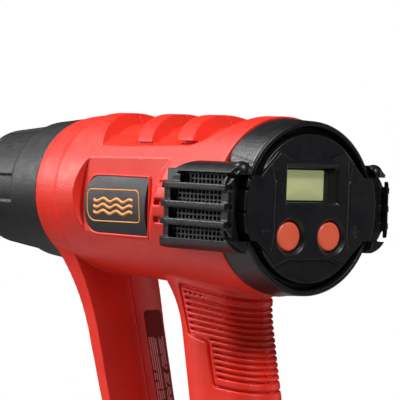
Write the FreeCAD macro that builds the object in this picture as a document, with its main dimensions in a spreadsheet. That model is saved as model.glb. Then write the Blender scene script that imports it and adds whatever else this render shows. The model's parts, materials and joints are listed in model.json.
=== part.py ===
import FreeCAD, Part
import math
import os
import re
import Sketcher
from FreeCAD import Placement, Rotation, Vector

# Heat gun with a closed D handle. Every piece is modelled about the barrel: X runs along the barrel from the
# rear rim to the nozzle, Y to the left, Z up, with the rear rim plane at x = 0 and its centre at z = 0.
# place() then lifts each piece so that the flat underside of the handle's base is the part's origin.

os.makedirs("parts", exist_ok=True)
doc = FreeCAD.newDocument("heat_gun")

# ---------------------------------------------------------------- driving dimensions
SIZES = [
    ("axis_height", 168.0, "centre of the rear rim above the flat base"),
    ("base_centre", 58.0, "centre of the flat base, forward of the rear rim"),
    ("nose_lift", 2.2, "nozzle and motor axis above the rear rim's centre"),
    ("wall", 2.6, "moulded wall thickness"),
    ("collar_rad", 41.1, "collar radius where it meets the barrel"),
    ("collar_len", 18.4, "collar length"),
    ("barrel_rad", 41.8, "barrel radius at the collar"),
    ("barrel_front_rad", 40.0, "barrel radius at the front bevel"),
    ("bevel_start", 141.0, "front bevel starts here"),
    ("barrel_end", 162.8, "front of the red barrel"),
    ("barrel_end_rad", 36.95, "radius at the front of the red barrel"),
    ("flat_half", 36.0, "flat name-plate recess, distance from the middle plane"),
    ("recess_front", 126.5, "front end of the name-plate recess, at its floor"),
    ("recess_half", 21.6, "half height of the recess"),
    ("groove_floor", 36.3, "radius of the floors between the top ribs"),
    ("groove_front", 91.9, "front wall of the top recess, carried down its lean to the axis height"),
    ("ledge_low", 25.2, "height of the top recess's lower edge"),
    ("guard_len", 67.0, "length of the black nose guard"),
    ("guard_end_rad", 29.6, "guard radius at its front shoulder"),
    ("nozzle_rad", 17.5, "outer radius of the steel outlet tube"),
    ("nozzle_wall", 0.8, "outlet tube wall"),
    ("nozzle_free", 22.0, "length of tube ahead of the guard, where nozzles clamp"),
    ("nozzle_tip", 252.0, "front end of the outlet tube"),
    ("grip_width_rad", 19.5, "half width of the grip"),
    ("grip_back_rad", 15.5, "radius of the back of the grip"),
    ("grip_depth", 48.5, "depth of the grip, back to front"),
    ("base_floor", -168.0, "underside of the base"),
    ("base_half", 19.8, "half width of the base"),
    ("gland_rad", 6.6, "outer radius of the cable gland"),
    ("cable_rad", 3.7, "radius of the hole for the mains cable"),
    ("button_rad", 6.9, "button radius"),
    ("button_y", 12.4, "button centre from the middle plane"),
    ("button_z", -12.7, "button centre height"),
    ("pod_front", 59.0, "front end of the intake grille"),
    ("pod_half", 20.5, "half height of the intake grille"),
    ("pod_out", 50.5, "outer face of the intake grille at its rear end"),
    ("motor_rad", 17.8, "motor can radius"),
    ("motor_len", 44.0, "motor can length"),
    ("motor_x", 32.0, "rear face of the motor can"),
    ("shaft_rad", 1.6, "motor shaft radius"),
    ("fan_rad", 29.0, "impeller radius"),
    ("fan_x", 86.0, "rear face of the impeller"),
    ("fan_len", 16.0, "impeller length"),
]
sheet = doc.addObject("Spreadsheet::Sheet", "Sizes")
for line, (alias, value, meaning) in enumerate(SIZES, 1):
    sheet.set(f"A{line}", meaning)
    sheet.set(f"B{line}", str(value))
    sheet.setAlias(f"B{line}", alias)
doc.recompute()
ALIASES = [alias for alias, _, _ in SIZES]
S = {alias: float(sheet.get(alias)) for alias in ALIASES}
SUBPARTS = []


# ---------------------------------------------------------------- helpers
def expression(text):
    """Turns 'wall + 1' into the sheet's own reference, 'Sizes.wall + 1'."""
    return re.sub(r"[a-z]\w+", lambda found: "Sizes." + found.group(), text)


def bind(obj, prop, value):
    """Sets a property to a number, or binds it to an expression of the sheet's sizes."""
    if isinstance(value, str):
        obj.setExpression(prop, expression(value))
    else:
        obj.setExpression(prop, str(float(value)))


def place(obj, label, along="0", across="0", up="0"):
    """Makes obj a sub-part: a label and a placement bound to the sheet, about the base's centre."""
    obj.Label = label
    obj.setExpression("Placement.Base.x", expression(f"{along} - base_centre"))
    obj.setExpression("Placement.Base.y", expression(across))
    obj.setExpression("Placement.Base.z", expression(f"{up} + axis_height"))
    SUBPARTS.append(obj)
    return obj


def shaped(label, shape, along="0", up="0"):
    """A sub-part whose shape is worked out with Part's functions."""
    matrix = shape.Placement.toMatrix()
    shape.Placement = Placement()
    obj = doc.addObject("Part::Feature", label)
    obj.Shape = shape.transformed(matrix, copy=True)
    return place(obj, label, along, "0", up)


def origin_plane(body, role):
    return next(f for f in body.Origin.OriginFeatures if f.Role == role)


def sketch_on(body, name, role, points, offset=0.0):
    """A closed outline of straight lines on an origin plane, each corner fixed by two dimensions."""
    sketch = body.newObject("Sketcher::SketchObject", name)
    sketch.AttachmentSupport = (origin_plane(body, role), "")
    sketch.MapMode = "FlatFace"
    sketch.AttachmentOffset = Placement(Vector(0, 0, offset), Rotation())
    doc.recompute()
    number = [
        [float(sheet_value(coordinate)) for coordinate in point] for point in points
    ]
    count = len(points)
    for i in range(count):
        start = Vector(*number[i], 0)
        finish = Vector(*number[(i + 1) % count], 0)
        sketch.addGeometry(Part.LineSegment(start, finish))
    for i in range(count):
        sketch.addConstraint(Sketcher.Constraint("Coincident", i, 2, (i + 1) % count, 1))
    for i, point in enumerate(points):
        for axis, kind in enumerate(("DistanceX", "DistanceY")):
            if abs(number[i][axis]) < 1e-9:
                line = -2 if axis == 0 else -1
                sketch.addConstraint(Sketcher.Constraint("PointOnObject", i, 1, line))
                continue
            index = sketch.addConstraint(
                Sketcher.Constraint(kind, -1, 1, i, 1, number[i][axis])
            )
            if isinstance(point[axis], str):
                sketch.setExpression(f"Constraints[{index}]", expression(point[axis]))
    return sketch


def sheet_value(value):
    """The number that a size's expression stands for."""
    return float(sheet.evalExpression(value)) if isinstance(value, str) else value


def turned(label, points, along="0", across="0", up="nose_lift"):
    """A PartDesign body turned about the X axis from points (distance along X, radius)."""
    body = doc.addObject("PartDesign::Body", label)
    sketch = sketch_on(body, label + "_section", "XZ_Plane", points)
    solid = body.newObject("PartDesign::Revolution", label + "_turned")
    solid.Profile = sketch
    solid.ReferenceAxis = (sketch, ["H_Axis"])
    solid.Angle = 360.0
    body.Tip = solid
    return place(body, label, along, across, up)


def cylinder(name, radius, length, x=0, y=0, z=0, toward=(1, 0, 0)):
    """A Part cylinder that starts at (x, y, z) and runs toward a direction."""
    obj = doc.addObject("Part::Cylinder", name)
    bind(obj, "Radius", radius)
    bind(obj, "Height", length)
    obj.Placement = Placement(Vector(), Rotation(Vector(0, 0, 1), Vector(*toward)))
    for prop, value in (("x", x), ("y", y), ("z", z)):
        bind(obj, "Placement.Base." + prop, value)
    return obj


def block(name, low, high):
    """A Part box between two corners, whose numbers may be expressions."""
    obj = doc.addObject("Part::Box", name)
    for prop, axis, a, b in zip(("Length", "Width", "Height"), "xyz", low, high):
        bind(obj, prop, sheet_value(b) - sheet_value(a))
        bind(obj, "Placement.Base." + axis, a)
    return obj


def fused(name, *pieces):
    obj = doc.addObject("Part::MultiFuse", name)
    obj.Shapes = list(pieces)
    return obj


def cut(name, base, tool):
    obj = doc.addObject("Part::Cut", name)
    obj.Base = base
    obj.Tool = tool
    return obj


def wire(points):
    """A closed wire. Two numbers are reached by a line, four by an arc through the first two."""
    edges = []
    here = points[0][-2:]
    for point in list(points[1:]) + [points[0][-2:]]:
        there = point[-2:]
        if len(point) == 4:
            edges.append(Part.Arc(flat(here), flat(point[:2]), flat(there)).toShape())
        elif math.dist(here, there) > 1e-6:
            edges.append(Part.LineSegment(flat(here), flat(there)).toShape())
        here = there
    return Part.Wire(edges)


def flat(pair):
    return Vector(pair[0], pair[1], 0)


def prism(points, axis, low, high):
    """The outline swept along an axis: (x, z) outlines along Y, (x, y) along Z and (y, z) along X."""
    solid = Part.Face(wire(points)).extrude(Vector(0, 0, high - low))
    if axis == "z":
        solid.translate(Vector(0, 0, low))
    elif axis == "y":
        solid.rotate(Vector(), Vector(1, 0, 0), 90)
        solid.translate(Vector(0, high, 0))
    else:
        turn = Placement(Vector(low, 0, 0), Rotation(Vector(0, 1, 0), Vector(0, 0, 1), Vector(1, 0, 0)))
        solid = solid.transformGeometry(turn.toMatrix())
    return solid


def slab(low, high):
    """A box between two corners, as a shape."""
    corner = [min(a, b) for a, b in zip(low, high)]
    edge = [abs(b - a) for a, b in zip(low, high)]
    return Part.makeBox(*edge, Vector(*corner))


def rod(start, direction, radius, length):
    return Part.makeCylinder(radius, length, Vector(*start), Vector(*direction))


def mirrored(shape):
    """The same shape on the other side of the middle plane."""
    return shape.mirror(Vector(), Vector(0, 1, 0))


def tapered(first, near, second, far):
    """A solid whose (x, z) outline changes evenly from the first at y = near to the second at y = far."""
    outlines = []
    for points, y in ((first, near), (second, far)):
        outline = wire(points)
        outline.rotate(Vector(), Vector(*X), 90)
        outline.translate(Vector(0, y, 0))
        outlines.append(outline)
    return Part.makeLoft(outlines, True, True)


X, Y, Z = (1, 0, 0), (0, 1, 0), (0, 0, 1)


# ---------------------------------------------------------------- the moulded housing
def barrel(inset):
    """The barrel: circles along X whose top line stays level while the barrel tapers to the front bevel."""
    rear_lift = 0.2
    front_lift = 2.0
    stations = [
        (S["collar_len"], S["barrel_rad"], rear_lift),
        (S["bevel_start"], S["barrel_front_rad"], front_lift),
        (S["bevel_start"] + 3.6, S["barrel_front_rad"] - 0.8, front_lift),
        (S["bevel_start"] + 16.5, S["barrel_end_rad"] + 0.9, S["nose_lift"]),
        (S["barrel_end"], S["barrel_end_rad"], S["nose_lift"]),
    ]
    rings = [
        Part.Wire(Part.makeCircle(r - inset, Vector(x, 0, lift), Vector(*X)))
        for x, r, lift in stations
    ]
    return Part.makeLoft(rings, True, True)


def egg(height, back, depth, back_rad, front_rad):
    """A grip section at one height: two circles joined by their outer tangents."""
    first = back + back_rad
    second = back + depth - front_rad
    lean = math.asin((front_rad - back_rad) / (second - first))
    corner = [
        (first - back_rad * math.sin(lean), back_rad * math.cos(lean)),
        (second - front_rad * math.sin(lean), front_rad * math.cos(lean)),
    ]
    (ax, ay), (bx, by) = corner
    arc_back = Part.Arc(Vector(ax, -ay, height), Vector(back, 0, height), Vector(ax, ay, height))
    side = Part.LineSegment(Vector(ax, ay, height), Vector(bx, by, height))
    arc_front = Part.Arc(
        Vector(bx, by, height), Vector(back + depth, 0, height), Vector(bx, -by, height)
    )
    other = Part.LineSegment(Vector(bx, -by, height), Vector(ax, -ay, height))
    return Part.Wire([e.toShape() for e in (arc_back, side, arc_front, other)])


GRIP_LEAN = 0.2227
GRIP_TOP = -48.0
GRIP_FLOOR = -153.0


def steps(low, high, count):
    """count + 1 evenly spaced numbers."""
    return [low + (high - low) * i / count for i in range(count + 1)]


def grip(inset):
    """The grip leans back, and flares into the barrel above and into the base below."""
    flare_start, flare_top = -62.0, -24.0
    foot_start = -132.0
    sections = []
    for height in steps(GRIP_FLOOR, foot_start, 5) + [-97.0] + steps(flare_start, flare_top, 12):
        flare = max(0.0, (height - flare_start) / (flare_top - flare_start))
        foot = max(0.0, (foot_start - height) / (foot_start - GRIP_FLOOR))
        behind, ahead = 16.0 * flare**3 + 1.5 * foot**2, 24.0 * flare**2.4 + 2.5 * foot**2
        back = 32.0 + GRIP_LEAN * (height - GRIP_TOP) - behind + inset
        depth = S["grip_depth"] + behind + ahead - 2 * inset
        back_rad = S["grip_back_rad"] + 2.0 * foot**2 - inset
        sections.append(egg(height, back, depth, back_rad, S["grip_width_rad"] - inset))
    return Part.makeLoft(sections, True, True)


def leg(inset):
    """The front leg: convex towards the hand, with flat sides and a slightly crowned front."""
    crown = 3.0
    flare_start, flare_top = -65.0, -26.0
    sections = []
    for height in [GRIP_FLOOR, -98.0] + steps(flare_start, flare_top, 10):
        flare = max(0.0, (height - flare_start) / (flare_top - flare_start))
        drop = height + 98.0
        seam = 113.2 + 0.320 * drop
        edge = 118.4 + 0.315 * drop + 5.0 * flare**2.4
        front = 126.8 + 0.345 * drop + 9.5 * flare**2.4
        w = 20.4 + 0.025 * drop + 3.4 * flare**1.5 - inset
        low, high = edge + 0.6 * inset, front - 0.6 * inset
        left_rear, left_front = Vector(low, w, height), Vector(high, w - 1.2, height)
        right_rear, right_front = Vector(low, -w, height), Vector(high, -w + 1.2, height)
        rear = Part.Arc(right_rear, Vector(seam + inset, 0, height), left_rear)
        ahead = Part.Arc(left_front, Vector(front + crown - inset, 0, height), right_front)
        edges = [rear, Part.LineSegment(left_rear, left_front), ahead]
        edges.append(Part.LineSegment(right_front, right_rear))
        sections.append(Part.Wire([e.toShape() for e in edges]))
    return Part.makeLoft(sections, True, True)


def base(inset):
    """The bar that joins the grip and the leg and carries the flat resting face."""
    floor = S["base_floor"] + inset
    half = S["base_half"] - inset
    top = -151.0 - inset
    side = [
        (7.0 + inset, top),
        (4.6 + inset, floor + 8.0),
        (5.6 + inset, floor + 2.0, 10.0 + inset, floor),
        (105.0 - inset, floor),
        (110.0 - inset, floor + 2.2, 112.0 - inset, floor + 7.0),
        (113.4 - inset, top),
        (99.0 + inset, -141.0),
        (93.6 + inset, -149.0 - inset, 86.0, top),
        (68.0, top),
        (60.6 - inset, -148.4 - inset, 57.0 - inset, -141.0),
    ]
    edge = 4.0
    k = edge * (1 - math.sqrt(0.5))
    above = -138.0
    across = [
        (-half + edge, floor),
        (half - edge, floor),
        (half - k, floor + k, half, floor + edge),
        (half, top - edge),
        (half - k, top - k, half - edge, top),
        (half - edge, above),
        (-half + edge, above),
        (-half + edge, top),
        (-half + k, top - k, -half, top - edge),
        (-half, floor + edge),
        (-half + k, floor + k, -half + edge, floor),
    ]
    corner = 14.0 - inset
    rear, ahead = 3.0 + inset, 115.0 - inset
    c = corner * (1 - math.sqrt(0.5))
    plan = [
        (rear + corner, -half),
        (ahead - corner, -half),
        (ahead - c, -half + c, ahead, -half + corner),
        (ahead, half - corner),
        (ahead - c, half - c, ahead - corner, half),
        (rear + corner, half),
        (rear + c, half - c, rear, half - corner),
        (rear, -half + corner),
        (rear + c, -half + c, rear + corner, -half),
    ]
    bar = prism(side, "y", -half, half).common(prism(plan, "z", floor, above))
    return bar.common(prism(across, "x", rear, ahead))


RIB_LEAN = 0.9
# x of the rear and front faces of the two top ribs at z = 0, and the height of their lower ends
RIBS = [(53.9, 65.2, 27.8), (23.3, 35.2, 29.2)]


def top_recess():
    """A long recess over the top with slanted lower ledges, and two leaning ribs left standing in it."""
    outside, high = 60.0, 52.0
    low, floor, front = S["ledge_low"], S["groove_floor"], S["groove_front"]
    ring = rod((0, 0, 0), X, outside, 160.0).cut(rod((0, 0, 0), X, floor, 160.0))
    outline = [
        (front + RIB_LEAN * low - 2.2, low),
        (front + RIB_LEAN * low, low + 0.5, front + RIB_LEAN * (low + 1.4), low + 1.4),
        (front + RIB_LEAN * high, high),
        (26.0, high),
        (30.8, 41.0),
        (35.4, 35.4, 44.0, 29.0),
        (49.2, 27.3),
    ]
    ledge_edge, ledge_foot = (outside, low - 11.4), (20.0, low + 5.8)
    above = [
        (-ledge_edge[0], ledge_edge[1]),
        (-ledge_foot[0], ledge_foot[1]),
        ledge_foot,
        ledge_edge,
        (outside, outside),
        (-outside, outside),
    ]
    cutter = ring.common(prism(outline, "y", -outside, outside)).common(prism(above, "x", 0.0, 160.0))
    ribs = []
    for rear, ahead, end in RIBS:
        low_rear, low_ahead = rear + RIB_LEAN * end, ahead + RIB_LEAN * end
        rise = RIB_LEAN * (outside - end)
        side = [(low_rear, end), (low_ahead, end), (low_ahead + rise, outside), (low_rear + rise, outside)]
        ribs.append(prism(side, "y", -outside, outside))
    return cutter.cut(Part.makeCompound(ribs))


def grille_outline(grow):
    """The intake grille seen from the side: its upper front corner falls away, the lower one is small."""
    small = 7.0 + grow
    front, half = S["pod_front"] + grow, S["pod_half"] + grow
    rear = -1.5 - grow
    k = small * (1 - math.sqrt(0.5))
    slip = 0.29 * grow
    return [
        (rear, half),
        (front - 28.3 - grow, half),
        (front - 23.7 - 0.6 * grow, half - 0.8, front - 19.6 - slip, half - 3.0 - slip),
        (front - 10.4 - slip, half - 10.2 - slip),
        (front - 2.2 - 0.1 * grow, half - 18.5 - 0.6 * grow, front, half - 26.4 - grow),
        (front, -half + small),
        (front - k, -half + k, front - small, -half),
        (rear, -half),
    ]


def recess_outline(front):
    """The name-plate recess seen from the side, with a broad round front end."""
    half, rear = S["recess_half"], 40.0
    corner, cheek = front - 15.0, (front - 5.6, half - 3.2)
    bend = (front - 8.6, half - 1.0)
    return [
        (rear, -half),
        (corner, -half),
        (bend[0], -bend[1], cheek[0], -cheek[1]),
        (front, 0.0, *cheek),
        (*bend, corner, half),
        (rear, half),
    ]


BAR_GAPS = [(15.6, 10.4), (7.4, 1.8), (-1.2, -6.3), (-9.3, -15.1)]


def side_recess():
    """The flat recess on the left, which ramps up to the grille's toothed surround at its rear end."""
    floor, top = S["flat_half"], S["flat_half"] + 8.0
    front, draft = S["recess_front"], 1.4
    region = tapered(recess_outline(front), floor, recess_outline(front + draft), top)
    keep = tapered(grille_outline(13.5), floor - 0.01, grille_outline(0.7), top + 0.01)
    notches = []
    for (_, above), (below, _) in zip(BAR_GAPS, BAR_GAPS[1:]):
        notches.append(slab((52.0, 38.4, below), (64.0, 50.0, above)))
    return region.cut(keep).fuse(notches)


GRIP_PANEL = [
    (20.0, -45.2),
    (69.4, -38.2),
    (61.4, -60.4),
    (60.6, -61.8, 58.4, -62.4),
    (51.4, -64.4),
    (49.0, -65.6, 48.2, -68.0),
    (44.4, -83.2),
    (43.2, -85.0, 40.8, -85.6),
    (0.0, -90.0),
]


def band_outline(points, width):
    """A closed band of the given width just inside an outline, swept across the whole grip."""
    outer = Part.Face(wire(points))
    inner = outer.makeOffset2D(-width, 0, False, False)
    band = outer.cut(inner).extrude(Vector(0, 0, 80.0))
    band.rotate(Vector(), Vector(1, 0, 0), 90)
    band.translate(Vector(0, 40.0, 0))
    return band


def grip_grooves():
    """The outline and the sloping grooves of the ribbed panel, and the finger grooves ahead of it."""
    depth, pitch, line, slope = 1.6, 2.75, 1.35, 0.12
    skin = grip(-1.0).cut(grip(depth))
    inner = Part.Face(wire(GRIP_PANEL)).makeOffset2D(-2.6, 0, False, False)
    field = inner.extrude(Vector(0, 0, 80.0))
    field.rotate(Vector(), Vector(1, 0, 0), 90)
    field.translate(Vector(0, 40.0, 0))
    strips = []
    for i in range(16):
        low = -42.2 - pitch * i
        rear, front = low - 67 * slope, low + 23 * slope
        strip = [(0, rear), (90, front), (90, front + line), (0, rear + line)]
        strips.append(prism(strip, "y", -40.0, 40.0))
    ribs = Part.makeCompound(strips).common(field)
    fingers = []
    for i in range(7):
        height = -61.0 - 3.9 * i
        front = 32.0 + GRIP_LEAN * (height - GRIP_TOP) + S["grip_depth"]
        fingers.append(slab((front - 6.0, -13.0, height - 0.7), (front + 4.0, 13.0, height + 0.7)))
    tools = Part.makeCompound([ribs, band_outline(GRIP_PANEL, line), Part.makeCompound(fingers)])
    return tools.common(skin)


# x, z and the distance from the middle plane to the right-hand skin at each housing screw
SCREWS = [
    (128.0, 29.0, 25.0),
    (72.0, -29.0, 29.0),
    (148.0, -31.5, 22.0),
    (50.0, -96.0, 18.6),
    (111.5, -125.0, 19.7),
    (40.0, -159.0, 19.8),
    (96.0, -158.0, 19.8),
]
SCREW_RAD = 1.5
HEAD_RAD = 2.9
GLAND_Z = -157.0
SWITCH_Z = -51.0
SLOT_HALF = 6.4
SLOT_LONG = 8.6
BORE_RAD = 33.6
BOARD_LOW, BOARD_HIGH, BOARD_HALF = 22.6, 24.2, 26.5


def on_grip_front(shape):
    """Moves a shape from the origin to the switch on the grip's front face, X outwards and Z up the lean."""
    lean = math.degrees(math.atan(GRIP_LEAN))
    front = 32.0 + GRIP_LEAN * (SWITCH_Z - GRIP_TOP) + S["grip_depth"] + 0.4
    turn = Placement(Vector(front, 0, SWITCH_Z), Rotation(Vector(*Y), lean))
    return shape.transformed(turn.toMatrix(), copy=True)


def air_space():
    """The inside of the barrel, a bore flattened at both sides behind the name plates."""
    bore = rod((S["collar_len"] - 1, 0, 1.0), X, BORE_RAD, 136.0)
    return bore.common(slab((0.0, -33.4, -60.0), (170.0, 33.4, 60.0)))


def housing():
    """The two moulded halves, left and right, hollow, with their screw bosses and openings."""
    wall = S["wall"]
    solid = barrel(0.0).fuse([grip(0.0), leg(0.0), base(0.0)])
    recess = side_recess()
    solid = solid.cut([top_recess(), recess, mirrored(recess), grip_grooves()])

    mouth = rod((150.0, 0, S["nose_lift"]), X, 33.0, 20.0)
    slot = BOARD_HALF + 0.4
    board_slots = slab((22.0, -slot, BOARD_LOW - 0.1), (76.0, slot, BOARD_HIGH + 0.1))
    hollow = air_space().fuse([mouth, board_slots, grip(wall), leg(wall), base(wall)])
    bosses = [rod((x, -60, z), Y, 4.0, 120.0) for x, z, _ in SCREWS]
    hollow = hollow.cut(Part.makeCompound(bosses))
    shell = solid.cut(hollow)

    openings = [slab((22.0, -60.0, -14.0), (52.0, 60.0, 14.4))]
    for x, z, skin in SCREWS:
        openings.append(rod((x, 14.0, z), (0, -1, 0), SCREW_RAD, 60.0))
        openings.append(rod((x, -skin + 3.4, z), (0, -1, 0), HEAD_RAD + 0.3, 20.0))
    openings.append(rod((-20.0, 0, GLAND_Z), X, S["gland_rad"], 34.0))
    openings.append(on_grip_front(slab((-7.0, -SLOT_HALF, -SLOT_LONG), (6.0, SLOT_HALF, SLOT_LONG))))
    openings.append(on_grip_front(slab((0.0, -9.0, -10.5), (9.0, 9.0, 10.5))))
    shell = shell.cut(Part.makeCompound(openings))
    left = shell.common(slab((-50.0, 0.0, -200.0), (300.0, 90.0, 90.0)))
    right = shell.common(slab((-50.0, -90.0, -200.0), (300.0, 0.0, 90.0)))
    return left, right


def biggest(shape):
    """The largest solid of a shape, leaving loose slivers behind."""
    return max(shape.Solids, key=lambda solid: solid.Volume)


left_half, right_half = housing()
shaped("housing_left", biggest(left_half))
shaped("housing_right", biggest(right_half))


# ---------------------------------------------------------------- intake grilles and meshes
POD_REAR = -1.5


def pod(inset, rear):
    """The grille's envelope on the left side, inset evenly: side, plan and end outlines in common."""
    out = S["pod_out"] - inset
    front = S["pod_front"] - inset
    half = S["pod_half"] - inset
    bend = 15.0 - inset
    k = bend * (1 - math.sqrt(0.5))
    shoulder = front - bend
    side = grille_outline(-inset)
    side[0] = (rear, half)
    side[-1] = (rear, -half)
    plan = [
        (rear, 30.0),
        (front, 30.0),
        (front, out - 2.5 - bend),
        (front - k, out - 2.5 - k, shoulder, out - 2.5),
        (rear + 1.2, out + 0.2),
        (rear, out - 1.2),
    ]
    end = [
        (30.0, -half),
        (40.0 - inset, -half),
        (47.8 - inset, -half + 4.4, 51.4 - inset, -5.0),
        (51.4 - inset, 5.0),
        (47.8 - inset, half - 4.4, 40.0 - inset, half),
        (30.0, half),
    ]
    solid = prism(side, "y", 30.0, 60.0).common(prism(plan, "z", -30.0, 30.0))
    return solid.common(prism(end, "x", -10.0, 70.0))


# front ends of the four windows, from the top: they follow the grille's round upper corner
WINDOW_FRONTS = [36.8, 44.2, 45.2, 45.0]
WINDOW_REAR = 5.2


def intake_grille():
    """A bulged frame with proud bars over four long windows, and a notched flange round a rear slot."""
    proud, wall = 1.5, 3.4
    inner, mesh_face = 47.3, 44.4
    levels = [30.0] + [z for gap in BAR_GAPS for z in gap] + [-30.0]
    bar_rows = list(zip(levels[0::2], levels[1::2]))
    bars = [slab((0.5, 30.0, a), (60.0, 60.0, b)) for a, b in bar_rows]
    frame = pod(proud, POD_REAR).fuse(pod(0.0, POD_REAR).common(Part.makeCompound(bars)))
    frame = frame.fuse(Part.makeSphere(4.4, Vector(1.6, 40.6, 16.6)))

    tools = [pod(wall, WINDOW_REAR), rod((-5.0, 0, 0), X, S["barrel_rad"] + 0.05, 80.0)]
    tools.append(slab((WINDOW_REAR, 30.0, -16.8), (50.4, mesh_face, 16.8)))
    tools.append(slab((-3.0, 30.0, -15.0), (3.2, inner, 15.0)))
    for (a, b), front in zip(BAR_GAPS, WINDOW_FRONTS):
        tools.append(slab((WINDOW_REAR, 38.0, a), (front, 60.0, b)))
        tools.append(slab((1.0, 40.0, a), (3.2, inner + 1.4, b)))
    for a, b in bar_rows[1:-1]:
        tools.append(slab((-3.0, inner + 0.6, a), (0.5, 60.0, b)))
    return frame.cut(tools)


def filter_mesh():
    """A flat plate of small square holes behind the grille's windows."""
    near, far = 43.0, 43.8
    half_height = 16.6
    plate = slab((6.0, near, -half_height), (50.0, far, half_height))
    holes = []
    for column in range(13):
        for row in range(13):
            x, z = 8.6 + 2.79 * column, -15.4 + 2.33 * row
            holes.append(slab((x, near - 1, z), (x + 1.95, far + 1, z + 1.65)))
    return plate.cut(Part.makeCompound(holes))


grille, mesh = intake_grille(), filter_mesh()
shaped("intake_grille_left", biggest(grille))
shaped("intake_grille_right", biggest(mirrored(grille)))
shaped("filter_mesh_left", mesh)
shaped("filter_mesh_right", mirrored(mesh))


# ---------------------------------------------------------------- rear end: collar, cover, display, buttons
WING_HALF = 14.6
WING_TEETH = [(9.4, WING_HALF), (-1.1, 7.9), (-11.2, -2.4), (-WING_HALF, -12.4)]
PANEL_FACE = -2.0
BOARD_X = 14.0
BOARD_POSTS = [(21.2, -20.6), (-21.2, -20.6), (21.2, 17.4), (-21.2, 17.4)]


def symmetric(points):
    """An outline given for y > 0 from top to bottom, closed by its mirror image."""
    return points + [(-y, z) for y, z in reversed(points)]


def rear_collar():
    """The ring between the barrel and the rear face, notched where the cover's side wings pass."""
    length, rad, bore = S["collar_len"], S["collar_rad"], 37.7
    outline = [(0.0, bore), (0.0, 39.4), (0.8, 40.1), (length, rad), (length, bore)]
    ring = Part.Face(wire(outline)).revolve(Vector(), Vector(*X), 360)
    ring.rotate(Vector(), Vector(*X), 90)
    notch = slab((-1.0, -50.0, -WING_HALF - 0.2), (7.2, 50.0, WING_HALF + 0.2))
    facets = []
    for side in (1, -1):
        facet = slab((-1.0, 38.9, 8.5), (length + 1.0, 50.0, 16.0))
        facet.rotate(Vector(), Vector(*X), 17.0)
        facets.append(facet if side == 1 else mirrored(facet))
    return ring.cut([notch] + facets)


def rear_cover():
    """The rear face: a raised centre panel and side wings, with sunken crescents above and below."""
    floor, back = -0.2, 7.0
    crescents = rod((floor, 0, 0), X, 34.3, 4.9)
    plate = rod((4.6, 0, 0), X, 37.5, back - 4.6)
    outline = [
        (12.0, 21.8), (20.5, 25.3), (25.7, 20.3), (31.5, WING_HALF), (45.0, WING_HALF),
        (45.0, -WING_HALF), (33.0, -WING_HALF), (25.7, -20.8), (21.0, -25.6), (12.5, -22.5),
    ]
    raised = prism(symmetric(outline), "x", PANEL_FACE, back).common(rod((-5, 0, 0), X, 39.5, 20.0))
    posts = [rod((back - 0.1, y, z), X, 2.6, BOARD_X - back + 0.1) for y, z in BOARD_POSTS]
    wing_teeth = []
    for low, high in WING_TEETH:
        tooth = rod((-1.0, 0, 0), X, 40.6, 6.8).common(slab((-2.0, -50.0, low), (7.0, 50.0, high)))
        wing_teeth.append(tooth.cut(slab((-3.0, -38.0, -20.0), (8.0, 38.0, 20.0))))
    solid = raised.fuse([crescents, plate] + posts + wing_teeth)

    frame_outer = [(-16.4, 1.6), (16.4, 1.6), (16.4, 20.6), (-16.4, 20.6)]
    frame_inner = [(-15.1, 2.9), (15.1, 2.9), (15.1, 18.5), (-15.1, 18.5)]
    rings = []
    for x, corners in ((PANEL_FACE - 0.01, frame_outer), (-0.6, frame_inner)):
        rings.append(Part.makePolygon([Vector(x, y, z) for y, z in corners + corners[:1]]))
    tools = [Part.makeLoft(rings, True, True), slab((-3.0, -15.1, 2.9), (9.0, 15.1, 18.5))]
    for side in (1, -1):
        y = side * S["button_y"]
        tools.append(rod((-3.0, y, S["button_z"]), X, S["button_rad"] + 0.35, 12.0))
        tools.append(Part.makeCone(8.8, 7.2, 1.9, Vector(PANEL_FACE, y, S["button_z"]), Vector(*X)))
        groove = [(21.9, 22.6), (22.7, 22.6), (24.9, 20.6), (22.9, 11.5), (22.9, -13.0), (24.6, -19.8),
                  (23.8, -19.8), (22.1, -13.0), (22.1, 11.5)]
        line = prism([(side * a, b) for a, b in groove], "x", PANEL_FACE - 1, PANEL_FACE + 0.8)
        tools.append(line)
        tools.append(slab((-3.0, side * 27.6 - 2.8, -10.9), (PANEL_FACE + 0.5, side * 27.6 + 2.8, -9.8)))
    tools.append(slab((-3.0, -28.15, -13.2), (PANEL_FACE + 0.5, -27.05, -7.5)))
    tools += [rod((back + 1, y, z), X, 1.1, 20.0) for y, z in BOARD_POSTS]
    return solid.cut(Part.makeCompound(tools))


shaped("rear_collar", rear_collar())
shaped("rear_cover", biggest(rear_cover()))


def grouped(label, *pieces):
    """Separate solids that share one sub-part."""
    group = doc.addObject("Part::Compound", label + "_group")
    group.Links = list(pieces)
    return place(group, label)


pane = block("window_pane", (0.8, -15.05, 2.95), (1.8, 15.05, 18.45))
place(pane, "lcd_window", "0.8", "-15.05", "2.95")
lcd_front = block("lcd_front", (4.4, -14.6, 3.4), (7.6, 14.6, 18.0))
lcd_back = block("lcd_back", (7.5, -17.0, 1.4), (10.0, 17.0, 20.2))
place(fused("lcd_body", lcd_front, lcd_back), "lcd_module")
board = block("board_plate", (BOARD_X, -23.6, -23.0), (BOARD_X + 1.6, 23.6, 20.6))
board_holes = []
for i, (y, z) in enumerate(BOARD_POSTS):
    board_holes.append(cylinder(f"board_hole_{i}", 1.3, 6.0, BOARD_X - 2, y, z))
place(cut("board_drilled", board, fused("board_holes", *board_holes)), "display_pcb")
display_screws = []
for i, (y, z) in enumerate(BOARD_POSTS):
    head = cylinder(f"display_screw_head_{i}", 2.2, 1.5, BOARD_X + 1.6, y, z)
    shank = cylinder(f"display_screw_shank_{i}", 1.1, 6.6, BOARD_X - 5.0, y, z)
    display_screws.append(fused(f"display_screw_{i}", head, shank))
grouped("display_screws", *display_screws)

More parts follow.
